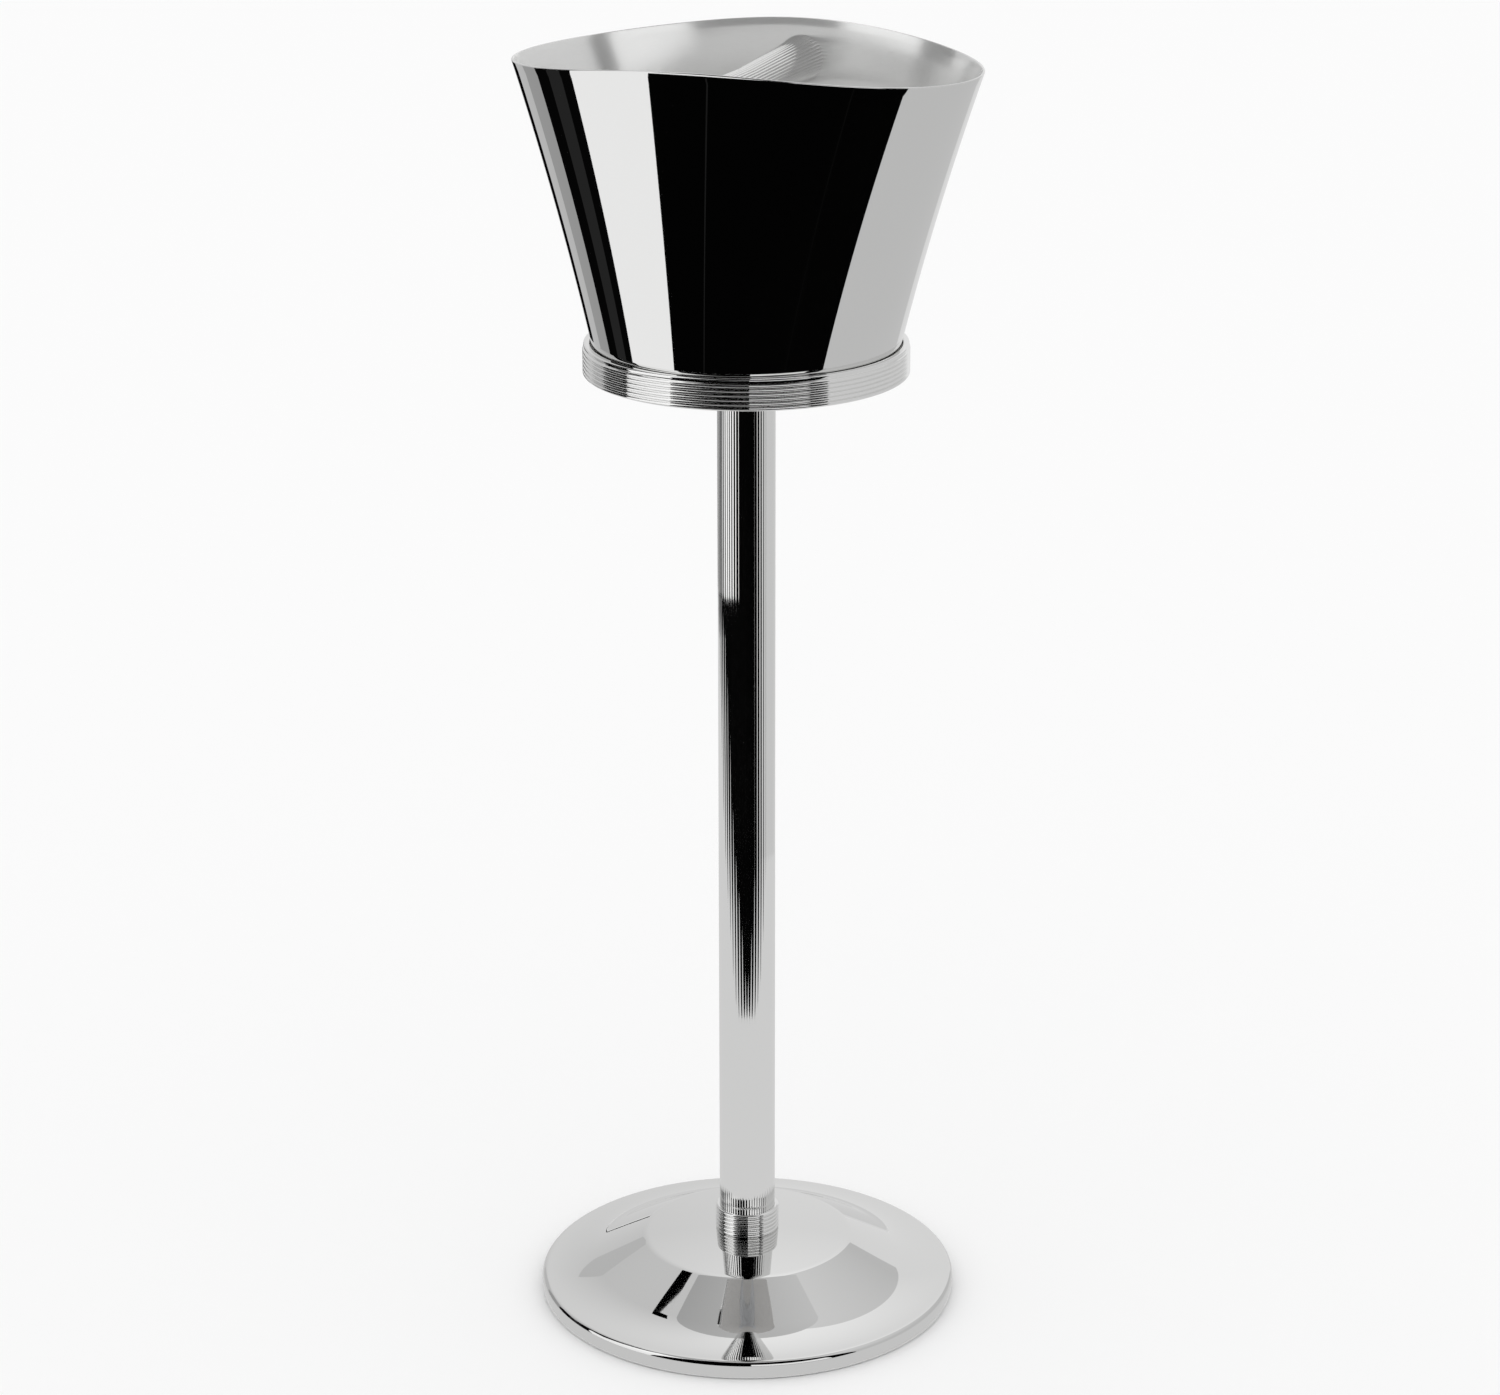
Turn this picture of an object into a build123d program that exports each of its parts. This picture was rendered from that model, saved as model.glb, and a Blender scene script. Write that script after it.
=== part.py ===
from build123d import *
import math
import os

# Champagne bucket stand: a round weighted base, a reeded column, a ribbed gallery ring
# that seats the bucket, and an oval-mouthed bucket with a reeded carry handle across it.
# Millimetres, +Z up, origin at the centre of the felt's underside. The bucket's long
# axis lies along X and its handle along Y.

# --- base ---
BASE_RADIUS = 134.9
BASE_SHEET = 1.2
BASE_EDGE_BOTTOM = 0.8
BASE_EDGE_ROUNDING = 3.4
BRIM_HEIGHT = 11.8
FLANK_FOOT = (113.5, 12.0)
FLANK_FOOT_RADIUS = 67.0
SHOULDER_REACH = 67.0
SHOULDER_RADIUS = 12.0
CROWN_HEIGHT = 41.2
CROWN_DOME_RADIUS = 491.0
CROWN_HOLE_RADIUS = 18.2
FELT_RADIUS = 128.0
FELT_THICKNESS = 1.2
COVER_RADIUS = 133.6
COVER_RECESS_RADIUS = 133.7
COVER_THICKNESS = 1.5
COVER_TOP = FELT_THICKNESS + COVER_THICKNESS
COVER_HOLE_RADIUS = 20.0
COVER_SCREW_COUNT = 4
COVER_SCREW_CIRCLE = 105.0
COVER_SCREW_RADIUS = 2.0
COVER_SCREW_HEAD_RADIUS = 3.5
COVER_SCREW_TIP = 8.2
BALLAST_OUTLINE = ((127.0, 9.6), (112.0, 10.0), (98.0, 14.0), (84.0, 20.0), (26.0, 20.0))
BOSS_RADIUS = 22.0
BOSS_TOP = 37.6
NUT_POCKET_RADIUS = 13.0
NUT_POCKET_TOP = 11.2

# --- column ---
COLUMN_RADIUS = 18.0
COLUMN_BORE_RADIUS = 15.8
COLUMN_TOP = 611.5
REED_COUNT = 56
REED_RADIUS = 3.0
ROD_RADIUS = 4.0
ROD_HOLE_RADIUS = 4.2
ROD_BOTTOM = 1.6
ROD_TOP = 594.5
ROD_CHAMFER = 0.5
PLUG_RADIUS = 15.75
PLUG_LENGTH = 30.0
PLUG_CHAMFER = 0.6
WASHER_RADIUS = 8.0
WASHER_THICKNESS = 1.6
SPRING_WASHER_RADIUS = 6.8
SPRING_WASHER_THICKNESS = 2.0
SPRING_WASHER_SPLIT = 1.0
NUT_ACROSS_FLATS = 13.0
NUT_HEIGHT = 5.6

# --- ribbed collar at the foot of the column ---
COLLAR_BOTTOM = 40.9
COLLAR_TOP = 57.3
COLLAR_BORE_RADIUS = 18.05
COLLAR_CORE_RADIUS = 19.5
COLLAR_RIB_COUNT = 6
COLLAR_RIB_PITCH = 2.7
COLLAR_RIB_RADIUS = 1.2

# --- gallery ring and its tray ---
RING_BOTTOM = 617.8
RING_TOP = 636.9
RING_BORE_RADIUS = 97.4
RING_CORE_RADIUS = 98.8
RING_RIB_COUNT = 6
RING_RIB_PITCH = 2.73
RING_RIB_RADIUS = 1.2
RING_LIP_RADIUS = 1.1
FLANGE_RADIUS = 30.0
FLANGE_CHAMFER = 0.8
TRAY_THICKNESS = 3.0
TRAY_TOP = RING_BOTTOM + TRAY_THICKNESS
TRAY_SCREW_COUNT = 3
TRAY_SCREW_CIRCLE = 23.0
TRAY_SCREW_RADIUS = 2.0
TRAY_SCREW_LENGTH = 7.5
TRAY_HEAD_RADIUS = 3.8
CENTRE_HEAD_RADIUS = 6.5
CENTRE_BOLT_LENGTH = 24.0
SCREW_FIT = 0.05
TRAY_FELT_RADIUS = 87.2
TRAY_FELT_THICKNESS = 1.6

# --- bucket ---
BUCKET_FLOOR = 622.7
BUCKET_SHEET = 1.5
BUCKET_FOOT_ROUNDING = 3.0
WALL_DATUM = 632.0
WALL_RADIUS = 93.6
LONG_FLARE = 0.245
LONG_FLARE_GROWTH = 0.000293
SHORT_FLARE = 0.070
WALL_STATIONS = 5
RIM_MEAN = 811.35
RIM_RISE = 5.9
ABOVE_RIM = 824.0

# --- carry handle ---
HANDLE_HEIGHT = 792.0
HANDLE_OUTLINE = ((0.0, 11.2), (32.0, 11.9), (76.0, 12.8), (94.0, 13.9), (105.2, 15.0))
HANDLE_BORE_RADIUS = 9.4
HANDLE_PLUG_RADIUS = 9.35
HANDLE_PLUG_OUTER = 99.2
HANDLE_PLUG_LENGTH = 14.0

os.makedirs("parts", exist_ok=True)


def save(piece, name):
    """Label a finished piece and write it as its own STEP file."""
    piece.label = name
    export_step(piece, f"parts/{name}.step")


def long_half_axis(height):
    """Outer half-length of the bucket's oval at a height, along X."""
    rise = height - WALL_DATUM
    return WALL_RADIUS + LONG_FLARE * rise + LONG_FLARE_GROWTH * rise**2


def short_half_axis(height):
    """Outer half-width of the bucket's oval at a height, along Y."""
    return WALL_RADIUS + SHORT_FLARE * (height - WALL_DATUM)


def dome_height(radius):
    """Height of the gently domed crown of the base at a radius."""
    drop = CROWN_DOME_RADIUS - math.sqrt(CROWN_DOME_RADIUS**2 - radius**2)
    return CROWN_HEIGHT - drop


def base_section():
    """Half section in XZ under the base: edge, brim, flank and domed crown."""
    edge_top = (BASE_RADIUS, BRIM_HEIGHT - BASE_EDGE_ROUNDING)
    brim_start = (BASE_RADIUS - BASE_EDGE_ROUNDING, BRIM_HEIGHT)
    shoulder = (SHOULDER_REACH, dome_height(SHOULDER_REACH))
    dome_middle = (SHOULDER_REACH / 2, dome_height(SHOULDER_REACH / 2))
    with BuildSketch(Plane.XZ) as section:
        with BuildLine():
            Line((0, 0), (BASE_RADIUS, 0))
            Line((BASE_RADIUS, 0), edge_top)
            RadiusArc(edge_top, brim_start, -BASE_EDGE_ROUNDING)
            Line(brim_start, FLANK_FOOT)
            Line(FLANK_FOOT, shoulder)
            ThreePointArc(shoulder, dome_middle, (0, CROWN_HEIGHT))
            Line((0, CROWN_HEIGHT), (0, 0))
        make_face()
        fillet(section.vertices().sort_by_distance(FLANK_FOOT)[0], radius=FLANK_FOOT_RADIUS)
        fillet(section.vertices().sort_by_distance(shoulder)[0], radius=SHOULDER_RADIUS)
    return section.sketch


def ribbed_section(bore, core, bottom, top, count, pitch, rib):
    """Half section of a sleeve whose outside carries a stack of half-round ribs."""
    stack_start = (bottom + top - count * pitch) / 2
    centres = [stack_start + (index + 0.5) * pitch for index in range(count)]
    with BuildSketch(Plane.XZ) as section:
        with Locations(((bore + core) / 2, (bottom + top) / 2)):
            Rectangle(core - bore, top - bottom)
        with Locations([(core, centre) for centre in centres]):
            Circle(rib)
        with Locations((bore - rib, (bottom + top) / 2)):
            Rectangle(2 * rib, top - bottom, mode=Mode.SUBTRACT)
    return section.sketch


def oval_body(inset, bottom, top):
    """Solid inside the bucket's flared wall, moved in by inset, between two heights."""
    with BuildPart() as body:
        for station in range(WALL_STATIONS):
            height = bottom + (top - bottom) * station / (WALL_STATIONS - 1)
            with BuildSketch(Plane.XY.offset(height)):
                Ellipse(long_half_axis(height) - inset, short_half_axis(height) - inset)
        loft()
    return body.part


def flat_head_screw(top, radius, head_radius, length):
    """Countersunk screw standing on its point, its flat head at height top."""
    head_depth = head_radius - radius
    with BuildPart() as screw:
        with BuildSketch(Plane.XZ):
            with BuildLine():
                Polyline(
                    (0, top),
                    (head_radius, top),
                    (radius, top - head_depth),
                    (radius, top - length),
                    (0, top - length),
                    close=True,
                )
            make_face()
        revolve(axis=Axis.Z)
    return screw.part


# ---------------------------------------------------------------- base
with BuildPart() as base_shell:
    add(base_section())
    revolve(axis=Axis.Z)
    with BuildSketch(Plane.XZ):
        add(base_section())
        offset(amount=-BASE_SHEET)
    revolve(axis=Axis.Z, mode=Mode.SUBTRACT)
    with BuildSketch():
        Circle(COVER_RECESS_RADIUS)
    extrude(amount=COVER_TOP, mode=Mode.SUBTRACT)
    with BuildSketch():
        Circle(CROWN_HOLE_RADIUS)
    extrude(amount=CROWN_HEIGHT, mode=Mode.SUBTRACT)
    with BuildSketch():
        Circle(BASE_RADIUS)
    extrude(amount=BASE_EDGE_BOTTOM, mode=Mode.SUBTRACT)
save(base_shell.part, "base_shell")

with BuildPart() as base_felt:
    with BuildSketch():
        Circle(FELT_RADIUS)
    extrude(amount=FELT_THICKNESS)
save(base_felt.part, "base_felt")

with BuildPart() as base_cover_plate:
    with BuildSketch(Plane.XY.offset(FELT_THICKNESS)):
        Circle(COVER_RADIUS)
        Circle(COVER_HOLE_RADIUS, mode=Mode.SUBTRACT)
        with PolarLocations(COVER_SCREW_CIRCLE, COVER_SCREW_COUNT):
            Circle(COVER_SCREW_HEAD_RADIUS, mode=Mode.SUBTRACT)
    extrude(amount=COVER_THICKNESS)
save(base_cover_plate.part, "base_cover_plate")

with BuildPart() as base_ballast:
    with BuildSketch(Plane.XZ):
        with BuildLine():
            Polyline(
                (0, COVER_TOP),
                (BALLAST_OUTLINE[0][0], COVER_TOP),
                *BALLAST_OUTLINE,
                (BOSS_RADIUS, BOSS_TOP),
                (0, BOSS_TOP),
                close=True,
            )
        make_face()
    revolve(axis=Axis.Z)
    with BuildSketch(Plane.XY.offset(COVER_TOP)):
        Circle(NUT_POCKET_RADIUS)
    extrude(amount=NUT_POCKET_TOP - COVER_TOP, mode=Mode.SUBTRACT)
    with BuildSketch(Plane.XY.offset(COVER_TOP)):
        Circle(ROD_HOLE_RADIUS)
    extrude(amount=BOSS_TOP, mode=Mode.SUBTRACT)
    with BuildSketch(Plane.XY.offset(COVER_TOP)):
        with PolarLocations(COVER_SCREW_CIRCLE, COVER_SCREW_COUNT):
            Circle(COVER_SCREW_RADIUS + SCREW_FIT)
    extrude(amount=COVER_SCREW_TIP - COVER_TOP, mode=Mode.SUBTRACT)
save(base_ballast.part, "base_ballast")

with BuildPart() as base_cover_screws:
    with BuildSketch(Plane.XY.offset(FELT_THICKNESS)):
        with PolarLocations(COVER_SCREW_CIRCLE, COVER_SCREW_COUNT):
            Circle(COVER_SCREW_HEAD_RADIUS - SCREW_FIT)
    extrude(amount=COVER_THICKNESS)
    with BuildSketch(Plane.XY.offset(COVER_TOP)):
        with PolarLocations(COVER_SCREW_CIRCLE, COVER_SCREW_COUNT):
            Circle(COVER_SCREW_RADIUS)
    extrude(amount=COVER_SCREW_TIP - COVER_TOP - SCREW_FIT)
save(base_cover_screws.part, "base_cover_screws")

# ---------------------------------------------------------------- column
with BuildPart() as column_tube:
    with BuildSketch(Plane.XY.offset(BOSS_TOP)):
        Circle(COLUMN_RADIUS - REED_RADIUS / 2)
        with PolarLocations(COLUMN_RADIUS - REED_RADIUS, REED_COUNT):
            Circle(REED_RADIUS)
        Circle(COLUMN_BORE_RADIUS, mode=Mode.SUBTRACT)
    extrude(amount=COLUMN_TOP - BOSS_TOP)
save(column_tube.part, "column_tube")

with BuildPart() as column_lower_plug:
    with BuildSketch(Plane.XY.offset(BOSS_TOP)):
        Circle(PLUG_RADIUS)
        Circle(ROD_HOLE_RADIUS, mode=Mode.SUBTRACT)
    extrude(amount=PLUG_LENGTH)
    top_edges = column_lower_plug.edges().filter_by(GeomType.CIRCLE).group_by(Axis.Z)[-1]
    chamfer(top_edges, PLUG_CHAMFER)
save(column_lower_plug.part, "column_lower_plug")

with BuildPart() as column_upper_plug:
    with BuildSketch(Plane.XY.offset(COLUMN_TOP)):
        Circle(PLUG_RADIUS)
        Circle(ROD_RADIUS + SCREW_FIT, mode=Mode.SUBTRACT)
    extrude(amount=-PLUG_LENGTH)
    bottom_edges = column_upper_plug.edges().filter_by(GeomType.CIRCLE).group_by(Axis.Z)[0]
    chamfer(bottom_edges, PLUG_CHAMFER)
save(column_upper_plug.part, "column_upper_plug")

with BuildPart() as tie_rod:
    with BuildSketch(Plane.XY.offset(ROD_BOTTOM)):
        Circle(ROD_RADIUS)
    extrude(amount=ROD_TOP - ROD_BOTTOM)
    chamfer(tie_rod.edges().filter_by(GeomType.CIRCLE), ROD_CHAMFER)
save(tie_rod.part, "tie_rod")

with BuildPart() as base_washer:
    with BuildSketch(Plane.XY.offset(NUT_POCKET_TOP)):
        Circle(WASHER_RADIUS)
        Circle(ROD_HOLE_RADIUS, mode=Mode.SUBTRACT)
    extrude(amount=-WASHER_THICKNESS)
save(base_washer.part, "base_washer")

SPRING_WASHER_TOP = NUT_POCKET_TOP - WASHER_THICKNESS
with BuildPart() as base_spring_washer:
    with BuildSketch(Plane.XY.offset(SPRING_WASHER_TOP)):
        Circle(SPRING_WASHER_RADIUS)
        Circle(ROD_HOLE_RADIUS, mode=Mode.SUBTRACT)
        with Locations((SPRING_WASHER_RADIUS / 2, 0)):
            Rectangle(SPRING_WASHER_RADIUS, SPRING_WASHER_SPLIT, mode=Mode.SUBTRACT)
    extrude(amount=-SPRING_WASHER_THICKNESS)
save(base_spring_washer.part, "base_spring_washer")

with BuildPart() as base_nut:
    with BuildSketch(Plane.XY.offset(SPRING_WASHER_TOP - SPRING_WASHER_THICKNESS)):
        RegularPolygon(NUT_ACROSS_FLATS / 2, 6, major_radius=False)
        Circle(ROD_RADIUS + SCREW_FIT, mode=Mode.SUBTRACT)
    extrude(amount=-NUT_HEIGHT)
save(base_nut.part, "base_nut")

with BuildPart() as ribbed_collar:
    add(
        ribbed_section(
            COLLAR_BORE_RADIUS,
            COLLAR_CORE_RADIUS,
            COLLAR_BOTTOM,
            COLLAR_TOP,
            COLLAR_RIB_COUNT,
            COLLAR_RIB_PITCH,
            COLLAR_RIB_RADIUS,
        )
    )
    revolve(axis=Axis.Z)
save(ribbed_collar.part, "ribbed_collar")

# ---------------------------------------------------------------- gallery
RIB_STACK_TOP = RING_BOTTOM + RING_RIB_COUNT * RING_RIB_PITCH
LIP_CENTRE_HEIGHT = RING_TOP - RING_LIP_RADIUS
LIP_CENTRE_RADIUS = RING_BORE_RADIUS + RING_LIP_RADIUS
LIP_WALL_HEIGHT = LIP_CENTRE_HEIGHT - RIB_STACK_TOP
with BuildPart() as ribbed_ring:
    add(
        ribbed_section(
            RING_BORE_RADIUS,
            RING_CORE_RADIUS,
            RING_BOTTOM,
            RIB_STACK_TOP,
            RING_RIB_COUNT,
            RING_RIB_PITCH,
            RING_RIB_RADIUS,
        )
    )
    with BuildSketch(Plane.XZ):
        with Locations((LIP_CENTRE_RADIUS, RIB_STACK_TOP + LIP_WALL_HEIGHT / 2)):
            Rectangle(2 * RING_LIP_RADIUS, LIP_WALL_HEIGHT)
        with Locations((LIP_CENTRE_RADIUS, LIP_CENTRE_HEIGHT)):
            Circle(RING_LIP_RADIUS)
    revolve(axis=Axis.Z)
save(ribbed_ring.part, "ribbed_ring")

with BuildPart() as tray_flange:
    with BuildSketch(Plane.XY.offset(COLUMN_TOP)):
        Circle(FLANGE_RADIUS)
        Circle(ROD_HOLE_RADIUS, mode=Mode.SUBTRACT)
        with PolarLocations(TRAY_SCREW_CIRCLE, TRAY_SCREW_COUNT):
            Circle(TRAY_SCREW_RADIUS + SCREW_FIT, mode=Mode.SUBTRACT)
    extrude(amount=RING_BOTTOM - COLUMN_TOP)
    rim_edges = tray_flange.edges().filter_by(GeomType.CIRCLE).group_by(SortBy.RADIUS)[-1]
    chamfer(rim_edges, FLANGE_CHAMFER)
save(tray_flange.part, "tray_flange")

with BuildPart() as tray_plate:
    with BuildSketch(Plane.XY.offset(RING_BOTTOM)):
        Circle(RING_BORE_RADIUS)
    extrude(amount=TRAY_THICKNESS)
    with Locations((0, 0, TRAY_TOP)):
        CounterSinkHole(ROD_HOLE_RADIUS, CENTRE_HEAD_RADIUS + SCREW_FIT, counter_sink_angle=90)
    with Locations(Plane.XY.offset(TRAY_TOP)):
        with PolarLocations(TRAY_SCREW_CIRCLE, TRAY_SCREW_COUNT):
            CounterSinkHole(
                TRAY_SCREW_RADIUS + SCREW_FIT,
                TRAY_HEAD_RADIUS + SCREW_FIT,
                counter_sink_angle=90,
            )
save(tray_plate.part, "tray_plate")

with BuildPart() as tray_centre_bolt:
    add(flat_head_screw(TRAY_TOP, ROD_RADIUS, CENTRE_HEAD_RADIUS, CENTRE_BOLT_LENGTH))
save(tray_centre_bolt.part, "tray_centre_bolt")

with BuildPart() as tray_screws:
    with PolarLocations(TRAY_SCREW_CIRCLE, TRAY_SCREW_COUNT):
        add(flat_head_screw(TRAY_TOP, TRAY_SCREW_RADIUS, TRAY_HEAD_RADIUS, TRAY_SCREW_LENGTH))
save(tray_screws.part, "tray_screws")

with BuildPart() as tray_felt:
    with BuildSketch(Plane.XY.offset(TRAY_TOP)):
        Circle(TRAY_FELT_RADIUS)
    extrude(amount=TRAY_FELT_THICKNESS)
save(tray_felt.part, "tray_felt")

# ---------------------------------------------------------------- bucket
HOLLOW_BOTTOM = BUCKET_FLOOR + BUCKET_SHEET
bucket_outside = oval_body(0, BUCKET_FLOOR, ABOVE_RIM)
bucket_hollow = oval_body(BUCKET_SHEET, HOLLOW_BOTTOM, ABOVE_RIM)

# The wall ends in a saddle: high at the handle, low at the ends of the long axis.
RIM_CREST = RIM_MEAN + RIM_RISE
RIM_DROP = 2 * RIM_RISE
RIM_REACH = long_half_axis(RIM_MEAN)
RIM_ARC_RADIUS = (RIM_REACH**2 + RIM_DROP**2) / (2 * RIM_DROP)
with BuildPart() as above_rim:
    with BuildSketch(Plane.XZ.offset(-RIM_REACH)):
        with Locations((0, RIM_CREST)):
            Rectangle(3 * RIM_REACH, 2 * RIM_DROP + RIM_RISE)
        with Locations((0, RIM_CREST - RIM_ARC_RADIUS)):
            Circle(RIM_ARC_RADIUS, mode=Mode.SUBTRACT)
    extrude(amount=2 * RIM_REACH)

with BuildPart() as bucket_shell:
    add(bucket_outside)
    floor_edge = bucket_shell.edges().group_by(Axis.Z)[0]
    fillet(floor_edge, radius=BUCKET_FOOT_ROUNDING)
    add(bucket_hollow, mode=Mode.SUBTRACT)
    add(above_rim.part, mode=Mode.SUBTRACT)
save(bucket_shell.part, "bucket_shell")

handle_axis = Axis((0, 0, HANDLE_HEIGHT), (0, 1, 0))
handle_reach = HANDLE_OUTLINE[-1][0]
with BuildPart() as carry_handle:
    with BuildSketch(Plane.XY.offset(HANDLE_HEIGHT)):
        with BuildLine():
            front_half = [(radius, -reach) for reach, radius in reversed(HANDLE_OUTLINE)]
            rear_half = [(radius, reach) for reach, radius in HANDLE_OUTLINE[1:]]
            Spline(*front_half, *rear_half)
            Polyline(
                rear_half[-1],
                (HANDLE_BORE_RADIUS, handle_reach),
                (HANDLE_BORE_RADIUS, -handle_reach),
                front_half[0],
            )
        make_face()
    revolve(axis=handle_axis)
    add(bucket_hollow, mode=Mode.INTERSECT)
save(carry_handle.part, "carry_handle")

for end_name, direction in (("front", -1), ("rear", 1)):
    with BuildPart() as handle_plug:
        with BuildSketch(Plane.XZ.offset(-direction * HANDLE_PLUG_OUTER)):
            with Locations((0, HANDLE_HEIGHT)):
                Circle(HANDLE_PLUG_RADIUS)
        extrude(amount=direction * HANDLE_PLUG_LENGTH)
    save(handle_plug.part, f"handle_plug_{end_name}")
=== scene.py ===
import math
import bpy
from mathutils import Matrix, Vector


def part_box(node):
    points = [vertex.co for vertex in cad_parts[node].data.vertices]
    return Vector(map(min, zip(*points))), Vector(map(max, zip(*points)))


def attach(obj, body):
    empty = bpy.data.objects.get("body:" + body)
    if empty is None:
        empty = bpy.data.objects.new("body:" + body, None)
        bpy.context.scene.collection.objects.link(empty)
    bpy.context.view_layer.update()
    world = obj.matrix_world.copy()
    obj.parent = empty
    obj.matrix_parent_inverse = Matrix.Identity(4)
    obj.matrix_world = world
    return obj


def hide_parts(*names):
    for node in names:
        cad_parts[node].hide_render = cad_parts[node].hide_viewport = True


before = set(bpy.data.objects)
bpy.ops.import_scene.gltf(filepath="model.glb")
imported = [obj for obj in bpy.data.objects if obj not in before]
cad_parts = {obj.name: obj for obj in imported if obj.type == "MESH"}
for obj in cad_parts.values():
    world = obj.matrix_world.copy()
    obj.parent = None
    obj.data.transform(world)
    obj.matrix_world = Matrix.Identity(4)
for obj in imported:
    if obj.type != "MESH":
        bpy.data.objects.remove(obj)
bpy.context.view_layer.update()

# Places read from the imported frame, in metres.
BASE_LOW, BASE_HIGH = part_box("base_shell")
TUBE_LOW, TUBE_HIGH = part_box("column_tube")
COLLAR_LOW, COLLAR_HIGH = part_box("ribbed_collar")
RING_LOW, RING_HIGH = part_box("ribbed_ring")
BUCKET_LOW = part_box("bucket_shell")[0]
HANDLE_LOW, HANDLE_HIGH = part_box("carry_handle")

# Base: edge, brim, flank and domed crown.
BASE_RADIUS = BASE_HIGH.x
BASE_SHEET = 0.0012
EDGE_ROUNDING = 0.0034
BRIM_START = Vector((BASE_RADIUS - EDGE_ROUNDING, 0, 0.0118))
FLANK_FOOT = Vector((0.1135, 0, 0.012))
FLANK_FOOT_RADIUS = 0.067
SHOULDER_REACH = 0.067
SHOULDER_RADIUS = 0.012
CROWN_HEIGHT = 0.0412
CROWN_DOME_RADIUS = 0.491
CROWN_HOLE_RADIUS = 0.0182

# Column and collar.
COLUMN_RADIUS = TUBE_HIGH.x
COLUMN_REEDS = 56
REED_RADIUS = 0.003
COLUMN_BORE = 0.0158
COLLAR_RIBS = 6
COLLAR_PITCH = 0.0027
COLLAR_CORE = 0.0195
COLLAR_BORE = 0.01805
RIB_RADIUS = 0.0012

# Gallery ring.
RING_RIBS = 6
RING_PITCH = 0.00273
RING_CORE = 0.0988
RING_BORE = 0.0974
LIP_INNER = 0.0953
LIP_PROUD = 0.0006
LIP_RADIUS = 0.0011

# Bucket: an oval that grows from a circle at the foot to its saddle-shaped rim.
SHEET = 0.0015
FOOT_ROUNDING = 0.003
WALL_DATUM = 0.632
WALL_RADIUS = 0.0936
LONG_FLARE = 0.245
LONG_FLARE_GROWTH = 0.293
SHORT_FLARE = 0.070
RIM_MEAN = 0.81128
RIM_RISE = 0.0059
BUCKET_SIDES = 288
WALL_COURSES = 36
FOOT_COURSES = 6
FLOOR_SHARES = (0.9, 0.8, 0.6, 0.35)
RIM_EDGE = 0.00055

# Carry handle.
HANDLE_HEIGHT = (HANDLE_LOW.z + HANDLE_HIGH.z) / 2
HANDLE_OUTLINE = (
    (0.0, 0.0112), (0.032, 0.0119), (0.076, 0.0128), (0.094, 0.0139), (0.1052, 0.0150),
)
HANDLE_REEDS = 40
HANDLE_REED_RADIUS = 0.0012
HANDLE_BORE_SHARE = 0.68
HANDLE_STATIONS = 24
HANDLE_SEAT = 0.0005

FULL_TURN = 2 * math.pi
WELD = 0.00001


# ------------------------------------------------------------------ modelling by hand
def clear_selection():
    """Back to object mode with nothing selected."""
    if bpy.context.object and bpy.context.object.mode != "OBJECT":
        bpy.ops.object.mode_set(mode="OBJECT")
    bpy.ops.object.select_all(action="DESELECT")


def start_edit(piece):
    """Edit mode on a new piece with all of it selected, its place applied to its mesh."""
    bpy.ops.object.transform_apply(location=True, rotation=True, scale=True)
    bpy.ops.object.mode_set(mode="EDIT")
    bpy.ops.mesh.select_mode(type="VERT")
    bpy.ops.mesh.select_all(action="SELECT")


def draw_outline(name, points):
    """A chain of edges through the points, drawn by extruding its last vertex."""
    clear_selection()
    bpy.ops.mesh.primitive_plane_add(size=0.001, location=points[0])
    piece = bpy.context.object
    piece.name = name
    start_edit(piece)
    bpy.ops.mesh.merge(type="CENTER")
    for here, there in zip(points, points[1:]):
        step = Vector(there) - Vector(here)
        bpy.ops.mesh.extrude_region_move(TRANSFORM_OT_translate={"value": step})
    bpy.ops.mesh.select_all(action="SELECT")
    return piece


def start_ring(name, radius, height, vertices):
    """A new piece in edit mode that is one selected ring of edges about the column's axis."""
    clear_selection()
    bpy.ops.mesh.primitive_circle_add(
        vertices=vertices, radius=radius, fill_type="NOTHING", location=(0, 0, height)
    )
    piece = bpy.context.object
    piece.name = name
    start_edit(piece)
    return piece


def select_where(piece, wanted):
    """Select, in edit mode, the vertices whose place answers to wanted."""
    bpy.ops.mesh.select_mode(type="VERT")
    bpy.ops.mesh.select_all(action="DESELECT")
    bpy.ops.object.mode_set(mode="OBJECT")
    for vertex in piece.data.vertices:
        vertex.select = wanted(vertex.co)
    bpy.ops.object.mode_set(mode="EDIT")


def lift(step):
    """Draw the selected ring up, or down, by a step."""
    bpy.ops.mesh.extrude_region_move(TRANSFORM_OT_translate={"value": (0, 0, step)})


def widen(x, y, z, centre):
    """Scale what is selected about a centre."""
    bpy.ops.transform.resize(value=(x, y, z), center_override=centre)


def close_shape(piece, smooth_angle):
    """Weld doubles, turn every face outwards and shade the piece smooth."""
    bpy.ops.mesh.select_all(action="SELECT")
    bpy.ops.mesh.remove_doubles(threshold=WELD)
    bpy.ops.mesh.normals_make_consistent(inside=False)
    bpy.ops.object.mode_set(mode="OBJECT")
    bpy.ops.object.shade_smooth_by_angle(angle=math.radians(smooth_angle))
    return piece


def turn_on_lathe(name, points, steps, smooth_angle=40.0):
    """A turned piece: its closed half section, in XZ, spun about the column's axis."""
    piece = draw_outline(name, points + points[:1])
    bpy.ops.mesh.spin(steps=steps, angle=FULL_TURN, center=(0, 0, 0), axis=(0, 0, 1))
    return close_shape(piece, smooth_angle)


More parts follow.
